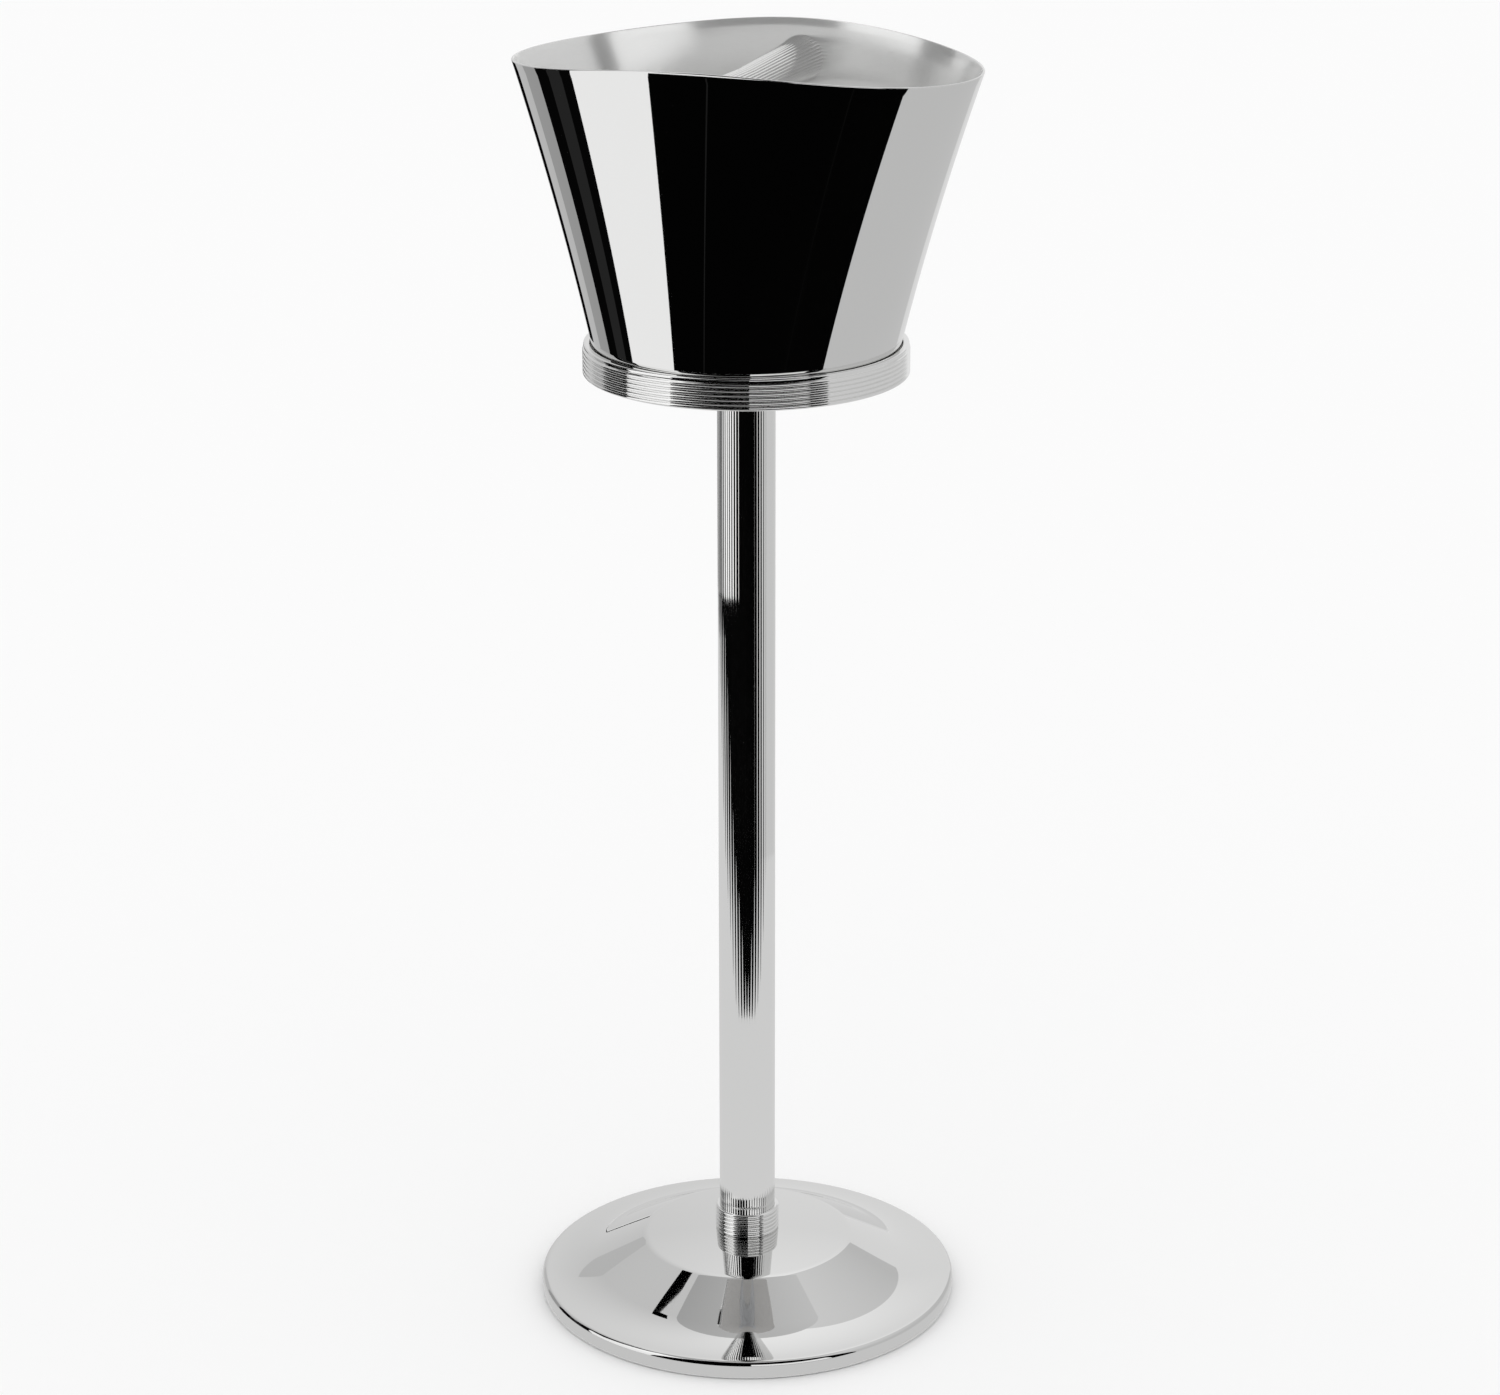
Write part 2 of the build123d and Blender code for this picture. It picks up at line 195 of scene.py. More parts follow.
def arc(centre, radius, start_degrees, end_degrees, steps):
    """Points on an arc in XZ, its angles measured from +X towards +Z."""
    points = []
    for step in range(steps + 1):
        angle = math.radians(start_degrees + (end_degrees - start_degrees) * step / steps)
        x = centre[0] + radius * math.cos(angle)
        z = centre[1] + radius * math.sin(angle)
        points.append(Vector((x, 0, z)))
    return points


def fillet_arc(corner, before, after, radius, steps):
    """Points that round a corner in XZ between the points before and after it."""
    towards_before = (before - corner).normalized()
    towards_after = (after - corner).normalized()
    half_angle = towards_before.angle(towards_after) / 2
    middle = (towards_before + towards_after).normalized()
    centre = corner + middle * (radius / math.sin(half_angle))
    tangent_reach = radius / math.tan(half_angle)
    start = (corner + towards_before * tangent_reach - centre).normalized()
    end = (corner + towards_after * tangent_reach - centre).normalized()
    return [centre + start.slerp(end, step / steps) * radius for step in range(steps + 1)]


def reeded_ring(name, radius, reed_radius, reeds, steps, height):
    """A reeded round outline: one convex reed, drawn as an arc and copied round the axis."""
    half_pitch = math.pi / reeds
    reed_centre = radius - reed_radius
    sideways = reed_centre * math.sin(half_pitch)
    valley = reed_centre * math.cos(half_pitch) + math.sqrt(reed_radius**2 - sideways**2)
    half_arc = math.asin(valley * math.sin(half_pitch) / reed_radius)
    points = []
    for step in range(steps + 1):
        angle = half_arc * (2 * step / steps - 1)
        x = reed_centre + reed_radius * math.cos(angle)
        points.append((x, reed_radius * math.sin(angle), height))
    piece = draw_outline(name, points)
    bpy.ops.mesh.spin(
        steps=reeds, angle=FULL_TURN, dupli=True, center=(0, 0, height), axis=(0, 0, 1)
    )
    bpy.ops.mesh.select_all(action="SELECT")
    bpy.ops.mesh.remove_doubles(threshold=WELD)
    return piece


# ------------------------------------------------------------------ the stand's pieces
def dome_height(radius):
    """Height of the gently domed crown of the base at a radius."""
    drop = CROWN_DOME_RADIUS - math.sqrt(CROWN_DOME_RADIUS**2 - radius**2)
    return CROWN_HEIGHT - drop


def dome_arc(from_radius, to_radius, steps):
    """Points along the crown's dome between two radii."""
    start = math.degrees(math.acos(from_radius / CROWN_DOME_RADIUS))
    end = math.degrees(math.acos(to_radius / CROWN_DOME_RADIUS))
    return arc((0, CROWN_HEIGHT - CROWN_DOME_RADIUS), CROWN_DOME_RADIUS, start, end, steps)


def base_outline(inset):
    """The base from the crown's hole out to its edge, moved in under the surface by inset."""
    shoulder = Vector((SHOULDER_REACH, 0, dome_height(SHOULDER_REACH)))
    dome_slope = Vector((SHOULDER_REACH, 0, CROWN_DOME_RADIUS)).normalized()
    dome_run = Vector((-dome_slope.z, 0, dome_slope.x))
    rounding = fillet_arc(shoulder, shoulder + dome_run, FLANK_FOOT, SHOULDER_RADIUS, 10)
    flare = fillet_arc(FLANK_FOOT, shoulder, BRIM_START, FLANK_FOOT_RADIUS, 12)
    points = dome_arc(CROWN_HOLE_RADIUS, rounding[0].x - 0.001, 10)
    points += rounding + flare
    edge_centre = (BRIM_START.x, BRIM_START.z - EDGE_ROUNDING)
    points += arc(edge_centre, EDGE_ROUNDING, 90, 0, 10)
    if inset == 0:
        return points
    moved = []
    for before, here, after in zip(points, points[1:], points[2:]):
        run = (after - before).normalized()
        moved.append(here + Vector((run.z, 0, -run.x)) * inset)
    start = Vector((CROWN_HOLE_RADIUS, 0, moved[0].z))
    end = Vector((BASE_RADIUS - inset, 0, moved[-1].z))
    return [start] + moved + [end]


def make_base_dish():
    """The spun, mirror-plated cover of the base, with its rolled edge."""
    outside = base_outline(0)
    outside.append(Vector((BASE_RADIUS, 0, BASE_LOW.z)))
    inside = [Vector((BASE_RADIUS - BASE_SHEET, 0, BASE_LOW.z))]
    inside += reversed(base_outline(BASE_SHEET))
    return turn_on_lathe("base_dish", outside + inside, steps=256)


def stacked_ribs(core, bottom, count, pitch):
    """Half-round ribs stacked upwards along the outside of a sleeve."""
    points = []
    for index in range(count):
        centre = (core, bottom + (index + 0.5) * pitch)
        points += arc(centre, RIB_RADIUS, -84, 84, 8)
    return points


def make_turned_collar():
    """The turned collar at the foot of the column."""
    stack_bottom = (COLLAR_LOW.z + COLLAR_HIGH.z - COLLAR_RIBS * COLLAR_PITCH) / 2
    points = [Vector((COLLAR_BORE, 0, COLLAR_LOW.z)), Vector((COLLAR_CORE, 0, COLLAR_LOW.z))]
    points += stacked_ribs(COLLAR_CORE, stack_bottom, COLLAR_RIBS, COLLAR_PITCH)
    points += [Vector((COLLAR_CORE, 0, COLLAR_HIGH.z)), Vector((COLLAR_BORE, 0, COLLAR_HIGH.z))]
    return turn_on_lathe("turned_collar", points, steps=128, smooth_angle=55)


def make_gallery_ring():
    """The ribbed ring that seats the bucket, with a rounded lip."""
    lip_height = RING_HIGH.z - LIP_RADIUS
    points = [Vector((RING_BORE, 0, RING_LOW.z)), Vector((RING_CORE, 0, RING_LOW.z))]
    points += stacked_ribs(RING_CORE, RING_LOW.z, RING_RIBS, RING_PITCH)
    points.append(Vector((RING_CORE, 0, RING_LOW.z + RING_RIBS * RING_PITCH)))
    points += arc((RING_CORE - LIP_RADIUS + LIP_PROUD, lip_height), LIP_RADIUS, 0, 90, 6)
    points += arc((LIP_INNER + LIP_RADIUS, lip_height), LIP_RADIUS, 90, 270, 10)
    points.append(Vector((RING_BORE, 0, lip_height - LIP_RADIUS)))
    return turn_on_lathe("gallery_ring", points, steps=288, smooth_angle=55)


def make_reeded_column():
    """The reeded tube, drawn up from its reeded outline and down again inside as its bore."""
    piece = reeded_ring("reeded_column", COLUMN_RADIUS, REED_RADIUS, COLUMN_REEDS, 8, TUBE_LOW.z)
    length = TUBE_HIGH.z - TUBE_LOW.z
    bore_share = COLUMN_BORE / COLUMN_RADIUS
    lift(length)
    lift(0)
    widen(bore_share, bore_share, 1, (0, 0, TUBE_HIGH.z))
    lift(-length)
    lift(0)
    widen(1 / bore_share, 1 / bore_share, 1, (0, 0, TUBE_LOW.z))
    return close_shape(piece, 15)


# ------------------------------------------------------------------ the bucket's pieces
def long_half_axis(height):
    rise = height - WALL_DATUM
    return WALL_RADIUS + LONG_FLARE * rise + LONG_FLARE_GROWTH * rise**2


def short_half_axis(height):
    return WALL_RADIUS + SHORT_FLARE * (height - WALL_DATUM)


def bend_rim(piece):
    """Bow the rim into a saddle: up at the handle, down at the ends of the long axis."""
    bpy.ops.object.mode_set(mode="OBJECT")
    heights = {}
    for vertex in piece.data.vertices:
        place = (round(abs(vertex.co.x), 6), round(abs(vertex.co.y), 6))
        heights[place] = RIM_RISE * math.cos(2 * math.atan2(place[0], place[1]))
    bpy.ops.object.mode_set(mode="EDIT")
    for place, rise in heights.items():
        select_where(piece, lambda co: (round(abs(co.x), 6), round(abs(co.y), 6)) == place)
        bpy.ops.transform.translate(value=(0, 0, rise))
    bpy.ops.mesh.select_all(action="SELECT")


def make_bucket():
    """The oval-mouthed bucket: its rim drawn down course by course to the foot and floor."""
    piece = start_ring("bucket_wall", 1.0, RIM_MEAN, BUCKET_SIDES)
    reach_long = long_half_axis(RIM_MEAN - RIM_RISE)
    reach_short = short_half_axis(RIM_MEAN + RIM_RISE)
    centre = (0, 0, RIM_MEAN)
    widen(reach_long, reach_short, 1, centre)
    bend_rim(piece)
    foot_top = BUCKET_LOW.z + FOOT_ROUNDING
    course_height = (RIM_MEAN - foot_top) / WALL_COURSES
    saddle = RIM_RISE
    for course in range(1, WALL_COURSES + 1):
        height = RIM_MEAN - course * course_height
        share = 1 - course / WALL_COURSES
        next_saddle = RIM_RISE * share**3
        next_long = long_half_axis(height - next_saddle)
        next_short = short_half_axis(height + next_saddle)
        lift(-course_height)
        flattening = next_saddle / saddle
        widen(next_long / reach_long, next_short / reach_short, flattening, (0, 0, height))
        reach_long, reach_short, saddle = next_long, next_short, next_saddle
    for step in range(1, FOOT_COURSES + 1):
        before = math.radians(90 * (step - 1) / FOOT_COURSES)
        after = math.radians(90 * step / FOOT_COURSES)
        lift(FOOT_ROUNDING * (math.sin(before) - math.sin(after)))
        inset = FOOT_ROUNDING * (math.cos(before) - math.cos(after))
        narrower_long = (reach_long - inset) / reach_long
        narrower_short = (reach_short - inset) / reach_short
        widen(narrower_long, narrower_short, 1, (0, 0, 0))
        reach_long -= inset
        reach_short -= inset
    for share in FLOOR_SHARES:
        lift(0)
        widen(share, share, 1, (0, 0, BUCKET_LOW.z))
    lift(0)
    bpy.ops.mesh.merge(type="CENTER")
    close_shape(piece, 40)
    outer_face = max(piece.data.polygons, key=lambda face: face.center.x)
    if outer_face.normal.x < 0:
        bpy.ops.object.mode_set(mode="EDIT")
        bpy.ops.mesh.select_all(action="SELECT")
        bpy.ops.mesh.flip_normals()
        bpy.ops.object.mode_set(mode="OBJECT")
    piece.data.materials.append(MIRROR_BUCKET)
    piece.data.materials.append(SATIN_LINING_WITH_PAINTED_LIGHT)
    sheet = piece.modifiers.new("sheet", "SOLIDIFY")
    sheet.thickness = SHEET
    sheet.offset = -1
    sheet.use_even_offset = True
    sheet.material_offset = 1
    bpy.ops.object.modifier_apply(modifier=sheet.name)
    rim = piece.modifiers.new("rim", "BEVEL")
    rim.width = RIM_EDGE
    rim.segments = 3
    rim.limit_method = "ANGLE"
    rim.angle_limit = math.radians(60)
    bpy.ops.object.modifier_apply(modifier=rim.name)
    bpy.ops.object.shade_smooth_by_angle(angle=math.radians(50))
    return piece


def handle_radius(reach):
    """Radius of the carry handle at a distance from its middle, along its outline."""
    for (reach_a, radius_a), (reach_b, radius_b) in zip(HANDLE_OUTLINE, HANDLE_OUTLINE[1:]):
        if reach <= reach_b:
            share = (reach - reach_a) / (reach_b - reach_a)
            return radius_a + (radius_b - radius_a) * share
    return HANDLE_OUTLINE[-1][1]


def make_carry_handle():
    """The reeded handle, waisted in the middle, its ends leaning with the bucket's wall."""
    end_reach = short_half_axis(HANDLE_HEIGHT) - SHEET + HANDLE_SEAT
    radius = handle_radius(end_reach)
    piece = reeded_ring("reeded_handle", radius, HANDLE_REED_RADIUS, HANDLE_REEDS, 6, -end_reach)
    step = 2 * end_reach / HANDLE_STATIONS
    for station in range(1, HANDLE_STATIONS + 1):
        along = -end_reach + station * step
        next_radius = handle_radius(abs(along))
        lift(step)
        widen(next_radius / radius, next_radius / radius, 1, (0, 0, along))
        radius = next_radius
    bore = HANDLE_BORE_SHARE
    lift(0)
    widen(bore, bore, 1, (0, 0, end_reach))
    lift(-2 * end_reach)
    lift(0)
    widen(1 / bore, 1 / bore, 1, (0, 0, -end_reach))
    bpy.ops.mesh.select_all(action="SELECT")
    bpy.ops.mesh.remove_doubles(threshold=WELD)
    bpy.ops.transform.rotate(value=math.pi / 2, orient_axis="X", center_override=(0, 0, 0))
    bpy.ops.transform.translate(value=(0, 0, HANDLE_HEIGHT))
    lean = math.atan(SHORT_FLARE)
    for side in (-1, 1):
        end = Vector((0, side * end_reach, HANDLE_HEIGHT))
        select_where(piece, lambda co: abs(co.y - end.y) < step / 4)
        bpy.ops.transform.rotate(value=side * lean, orient_axis="X", center_override=end)
    return close_shape(piece, 25)


# ------------------------------------------------------------------ finishes
def new_finish(name, colour, metallic, roughness):
    """A material whose shader starts from plain values; returns the material."""
    finish = bpy.data.materials.new(name)
    finish.use_nodes = True
    shader = finish.node_tree.nodes["Principled BSDF"]
    shader.inputs["Base Color"].default_value = (*colour, 1)
    shader.inputs["Metallic"].default_value = metallic
    shader.inputs["Roughness"].default_value = roughness
    return finish


def start_group(name, inputs, outputs):
    """A shader node group with named number inputs, a place input and named outputs."""
    group = bpy.data.node_groups.new(name, "ShaderNodeTree")
    group.interface.new_socket("Place", in_out="INPUT", socket_type="NodeSocketVector")
    for socket, value in inputs.items():
        made = group.interface.new_socket(socket, in_out="INPUT", socket_type="NodeSocketFloat")
        made.default_value = value
    for socket in outputs:
        group.interface.new_socket(socket, in_out="OUTPUT", socket_type="NodeSocketFloat")
    return group, group.nodes.new("NodeGroupInput"), group.nodes.new("NodeGroupOutput")


def add_math(tree, operation, first, second):
    """A math node fed by sockets or plain numbers."""
    node = tree.nodes.new("ShaderNodeMath")
    node.operation = operation
    for socket, value in zip(node.inputs, (first, second)):
        if isinstance(value, (int, float)):
            socket.default_value = value
        else:
            tree.links.new(value, socket)
    return node.outputs[0]


def add_noise(tree, place, scale, detail):
    """A noise texture over a place."""
    node = tree.nodes.new("ShaderNodeTexNoise")
    node.inputs["Detail"].default_value = detail
    tree.links.new(place, node.inputs["Vector"])
    if isinstance(scale, (int, float)):
        node.inputs["Scale"].default_value = scale
    else:
        tree.links.new(scale, node.inputs["Scale"])
    return node.outputs["Fac"]


def add_stretch(tree, place, stretch):
    """The place scaled unevenly, so that what is laid over it runs one way."""
    node = tree.nodes.new("ShaderNodeMapping")
    node.inputs["Scale"].default_value = stretch
    tree.links.new(place, node.inputs["Vector"])
    return node.outputs["Vector"]


def spread(tree, value, low, high):
    """A 0 to 1 value mapped to run from low to high."""
    node = tree.nodes.new("ShaderNodeMapRange")
    tree.links.new(value, node.inputs["Value"])
    for name, limit in (("To Min", low), ("To Max", high)):
        if isinstance(limit, (int, float)):
            node.inputs[name].default_value = limit
        else:
            tree.links.new(limit, node.inputs[name])
    return node.outputs["Result"]


def around_axis(tree, place):
    """A place's distance from the column's axis, as (distance, angle, height)."""
    split = tree.nodes.new("ShaderNodeSeparateXYZ")
    tree.links.new(place, split.inputs[0])
    squares = add_math(
        tree, "ADD",
        add_math(tree, "POWER", split.outputs["X"], 2),
        add_math(tree, "POWER", split.outputs["Y"], 2),
    )
    distance = add_math(tree, "SQRT", squares, 0)
    angle = add_math(tree, "ARCTAN2", split.outputs["Y"], split.outputs["X"])
    join = tree.nodes.new("ShaderNodeCombineXYZ")
    tree.links.new(distance, join.inputs["X"])
    tree.links.new(angle, join.inputs["Y"])
    tree.links.new(split.outputs["Z"], join.inputs["Z"])
    return join.outputs[0]


def add_weighted(tree, first, first_share, second, second_share):
    """The sum of two values, each given its share."""
    return add_math(
        tree, "ADD",
        add_math(tree, "MULTIPLY", first, first_share),
        add_math(tree, "MULTIPLY", second, second_share),
    )


def finish_effect(group, given, made, roughness_by, tone_by, height):
    """Feed a group's outputs from the values that its roughness, tone and relief follow."""
    high = add_math(group, "ADD", given.outputs["Roughness"], given.outputs["Spread"])
    roughness = spread(group, roughness_by, given.outputs["Roughness"], high)
    group.links.new(roughness, made.inputs["Roughness"])
    low = add_math(group, "SUBTRACT", 1.0, given.outputs["Tone"])
    group.links.new(spread(group, tone_by, low, 1.0), made.inputs["Tone"])
    group.links.new(height, made.inputs["Height"])


def make_polish_haze():
    """Fine wiping scratches and a faint cloudy haze left on a polished plate."""
    inputs = {"Roughness": 0.03, "Haze": 0.02, "Scratch": 0.02, "Tone": 0.02}
    group, given, made = start_group("polish_haze", inputs, ("Roughness", "Tone", "Height"))
    place = given.outputs["Place"]
    cloud = add_noise(group, place, 9.0, 3.0)
    scratches = None
    for stretch in ((900, 60, 60), (60, 900, 90), (80, 60, 900)):
        line = add_noise(group, add_stretch(group, place, stretch), 1.0, 2.0)
        line = add_math(group, "POWER", line, 6)
        scratches = line if scratches is None else add_math(group, "ADD", scratches, line)
    haze = add_math(group, "MULTIPLY", cloud, given.outputs["Haze"])
    rubbed = add_math(group, "MULTIPLY", scratches, given.outputs["Scratch"])
    worn = add_math(group, "ADD", haze, rubbed)
    roughness = add_math(group, "ADD", worn, given.outputs["Roughness"])
    group.links.new(roughness, made.inputs["Roughness"])
    low = add_math(group, "SUBTRACT", 1.0, given.outputs["Tone"])
    group.links.new(spread(group, cloud, low, 1.0), made.inputs["Tone"])
    group.links.new(scratches, made.inputs["Height"])
    return group


def make_turned_lines():
    """Fine concentric lines left by a tool or a buffing wheel about the column's axis."""
    inputs = {"Lines": 2500.0, "Roughness": 0.25, "Spread": 0.15, "Tone": 0.1}
    group, given, made = start_group("turned_lines", inputs, ("Roughness", "Tone", "Height"))
    turned = around_axis(group, given.outputs["Place"])
    stretched = group.nodes.new("ShaderNodeVectorMath")
    stretched.operation = "MULTIPLY"
    group.links.new(turned, stretched.inputs[0])
    stretched.inputs[1].default_value = (1.0, 0.004, 1.0)
    lines = add_noise(group, stretched.outputs[0], given.outputs["Lines"], 3.0)
    patches = add_noise(group, given.outputs["Place"], 25.0, 2.0)
    mixed = add_weighted(group, lines, 0.7, patches, 0.3)
    finish_effect(group, given, made, mixed, lines, lines)
    return group


def make_grain():
    """Cast, plated or fibrous grain: a coarse and a fine cloud over each other."""
    inputs = {"Coarse": 120.0, "Fine": 900.0, "Roughness": 0.4, "Spread": 0.2, "Tone": 0.3}
    group, given, made = start_group("grain", inputs, ("Roughness", "Tone", "Height"))
    coarse = add_noise(group, given.outputs["Place"], given.outputs["Coarse"], 2.0)
    fine = add_noise(group, given.outputs["Place"], given.outputs["Fine"], 4.0)
    mixed = add_weighted(group, coarse, 0.4, fine, 0.6)
    finish_effect(group, given, made, mixed, mixed, mixed)
    return group


POLISH_HAZE = make_polish_haze()
TURNED_LINES = make_turned_lines()
GRAIN = make_grain()


def dress(finish, group, colour, values, bump_depth):
    """Place a shared effect in a finish: its tone on the colour, its roughness and its relief."""
    tree = finish.node_tree
    shader = tree.nodes["Principled BSDF"]
    place = tree.nodes.new("ShaderNodeTexCoord").outputs["Object"]
    effect = tree.nodes.new("ShaderNodeGroup")
    effect.node_tree = group
    tree.links.new(place, effect.inputs["Place"])
    for name, value in values.items():
        effect.inputs[name].default_value = value
    tint = tree.nodes.new("ShaderNodeMix")
    tint.data_type = "RGBA"
    tint.inputs[6].default_value = (0, 0, 0, 1)
    tint.inputs[7].default_value = (*colour, 1)
    tree.links.new(effect.outputs["Tone"], tint.inputs[0])
    tree.links.new(tint.outputs[2], shader.inputs["Base Color"])
    tree.links.new(effect.outputs["Roughness"], shader.inputs["Roughness"])
    bump = tree.nodes.new("ShaderNodeBump")
    bump.inputs["Strength"].default_value = 1.0
    bump.inputs["Distance"].default_value = bump_depth
    tree.links.new(effect.outputs["Height"], bump.inputs["Height"])
    tree.links.new(bump.outputs["Normal"], shader.inputs["Normal"])
    return finish


SILVER = (0.80, 0.80, 0.795)
BRIGHT_SILVER = (0.90, 0.90, 0.895)


def mirror_finish(name, haze, scratch, colour=SILVER):
    """Buffed mirror plate."""
    finish = new_finish(name, colour, 1.0, 0.02)
    values = {"Roughness": 0.012, "Haze": haze, "Scratch": scratch, "Tone": 0.02}
    return dress(finish, POLISH_HAZE, colour, values, 0.0000002)


MIRROR_BASE = mirror_finish("mirror_base", 0.02, 0.05)
MIRROR_BUCKET = mirror_finish("mirror_bucket", 0.012, 0.04)
MIRROR_REEDED = mirror_finish("mirror_reeded_tube", 0.05, 0.06, BRIGHT_SILVER)
MIRROR_RIBBED = mirror_finish("mirror_ribbed_rings", 0.03, 0.04, BRIGHT_SILVER)
MIRROR_HANDLE = mirror_finish("mirror_reeded_handle", 0.15, 0.15, BRIGHT_SILVER)

# The bucket's lining: real satin with turned lines, but its tone is raised to 0.93 and its metal
# share cut to 0.6 so it looks brighter. The raised tone is painted light standing in for strong
# studio light.
SATIN_LINING_WITH_PAINTED_LIGHT = dress(
    new_finish("satin_lining_with_painted_light", SILVER, 0.60, 0.3), TURNED_LINES, (0.93, 0.93, 0.925),
    {"Lines": 1400.0, "Roughness": 0.15, "Spread": 0.06, "Tone": 0.05}, 0.0000002,
)
SATIN_STEEL = dress(
    new_finish("satin_steel", (0.62, 0.61, 0.6), 1.0, 0.35), TURNED_LINES, (0.66, 0.65, 0.64),
    {"Lines": 1800.0, "Roughness": 0.24, "Spread": 0.2, "Tone": 0.18}, 0.000004,
)
ALUMINIUM = dress(
    new_finish("machined_aluminium", (0.7, 0.7, 0.71), 1.0, 0.35), TURNED_LINES, (0.72, 0.72, 0.73),
    {"Lines": 3000.0, "Roughness": 0.28, "Spread": 0.2, "Tone": 0.15}, 0.000005,
)
ZINC = dress(
    new_finish("zinc_plated_steel", (0.6, 0.61, 0.62), 1.0, 0.4), GRAIN, (0.64, 0.65, 0.67),
    {"Coarse": 160.0, "Fine": 1400.0, "Roughness": 0.26, "Spread": 0.22, "Tone": 0.3}, 0.000006,
)
CAST_IRON = dress(
    new_finish("painted_cast_iron", (0.03, 0.03, 0.032), 0.0, 0.6), GRAIN, (0.045, 0.045, 0.048),
    {"Coarse": 90.0, "Fine": 700.0, "Roughness": 0.5, "Spread": 0.3, "Tone": 0.5}, 0.00025,
)
BLACK_FELT = dress(
    new_finish("black_felt", (0.02, 0.02, 0.022), 0.0, 0.95), GRAIN, (0.035, 0.035, 0.038),
    {"Coarse": 400.0, "Fine": 2600.0, "Roughness": 0.85, "Spread": 0.15, "Tone": 0.75}, 0.0004,
)
felt_shader = BLACK_FELT.node_tree.nodes["Principled BSDF"]
felt_shader.inputs["Sheen Weight"].default_value = 0.4
felt_shader.inputs["Sheen Roughness"].default_value = 0.5

NODE_FINISHES = {
    "base_felt": BLACK_FELT,
    "base_cover_plate": ZINC,
    "base_ballast": CAST_IRON,
    "base_cover_screws": ZINC,
    "column_lower_plug": ALUMINIUM,
    "column_upper_plug": ALUMINIUM,
    "tie_rod": ZINC,
    "base_washer": ZINC,
    "base_spring_washer": ZINC,
    "base_nut": ZINC,
    "tray_flange": ZINC,
    "tray_plate": SATIN_STEEL,
    "tray_centre_bolt": ZINC,
    "tray_screws": ZINC,
    "tray_felt": BLACK_FELT,
    "handle_plug_front": ZINC,
    "handle_plug_rear": ZINC,
}
for node_name, node_finish in NODE_FINISHES.items():
    for material_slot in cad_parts[node_name].material_slots:
        material_slot.material = node_finish


def place_piece(piece, finish, body, node):
    """Finish a new piece, join it to its body and let it stand for its plain solid."""
    if finish is not None:
        piece.data.materials.clear()
        piece.data.materials.append(finish)
    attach(piece, body)
    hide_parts(node)


place_piece(make_base_dish(), MIRROR_BASE, "stand", "base_shell")
place_piece(make_reeded_column(), MIRROR_REEDED, "stand", "column_tube")
place_piece(make_turned_collar(), MIRROR_RIBBED, "stand", "ribbed_collar")
place_piece(make_gallery_ring(), MIRROR_RIBBED, "stand", "ribbed_ring")
place_piece(make_bucket(), None, "bucket", "bucket_shell")
place_piece(make_carry_handle(), MIRROR_HANDLE, "bucket", "carry_handle")


# ------------------------------------------------------------------ studio
CAMERA_BEARING = math.radians(19.5)
CAMERA_DISTANCE = 2.3486
CAMERA_HEIGHT = 1.2032
CAMERA_DOWN = math.radians(18.727)
CAMERA_LENS = 94.81
SENSOR_WIDTH = 36.0
CAMERA_ROLL = 0.0012
CAMERA_SIDE_SHIFT = 0.00319

NEAR_FLOOR = 0.80
FAR_FLOOR = 9.0
BOARD_REACH = 1.50
BOARD_LEVEL = 0.0006
FLOOR_LEVEL = 0.0007
DARK_LEVEL = 0.0009
CABLE_LEVEL = 0.0012
PANEL_NEAR = 0.58
PANEL_HEIGHT = 0.30
CARD_GAP = 0.002
STEP_DEGREES = 4


def emission_finish(name, value):
    """A card's even glow."""
    finish = bpy.data.materials.new(name)
    finish.use_nodes = True
    tree = finish.node_tree
    tree.nodes.clear()
    glow = tree.nodes.new("ShaderNodeEmission")
    glow.inputs["Color"].default_value = (value, value, value, 1)
    out = tree.nodes.new("ShaderNodeOutputMaterial")
    tree.links.new(glow.outputs[0], out.inputs["Surface"])
    return finish


def only_in_reflections(card):
    """A card that the polished metal sees and the camera and the floor's light don't."""
    card.visible_camera = False
    card.visible_diffuse = False
    card.visible_transmission = False
    card.visible_shadow = False
    card.visible_volume_scatter = False


def heading(degrees):
    """Bearing from the lens as an angle about the column's axis."""
    return CAMERA_BEARING - math.pi / 2 + math.radians(degrees)


def sector_card(name, start_degrees, end_degrees, near, far, height, value):
    """A level card: a sector between two bearings from the lens, right-hand positive."""
    first = heading(start_degrees)
    points = [(reach * math.cos(first), reach * math.sin(first), height) for reach in (near, far)]
    card = draw_outline(name, points)
    sweep = end_degrees - start_degrees
    steps = max(4, int(sweep / STEP_DEGREES))
    bpy.ops.mesh.spin(
        steps=steps, angle=math.radians(sweep), center=(0, 0, height), axis=(0, 0, -1)
    )
    bpy.ops.object.mode_set(mode="OBJECT")
    card.data.materials.append(emission_finish(name + "_glow", value))
    only_in_reflections(card)


# The dark floor past the white board under the stand: bearing from the lens, and where it starts.
BOARD_EDGE = (
    (-166, 1.60), (-142, 1.55), (-118, 1.40), (-100, 1.15), (-81, 0.88), (-66, 0.77),
    (-52, 0.69), (-39, 0.60), (-26, 0.52), (-13, 0.48), (0, 0.47), (13, 0.48), (26, 0.52),
    (43, 0.62), (58, 0.78),
)


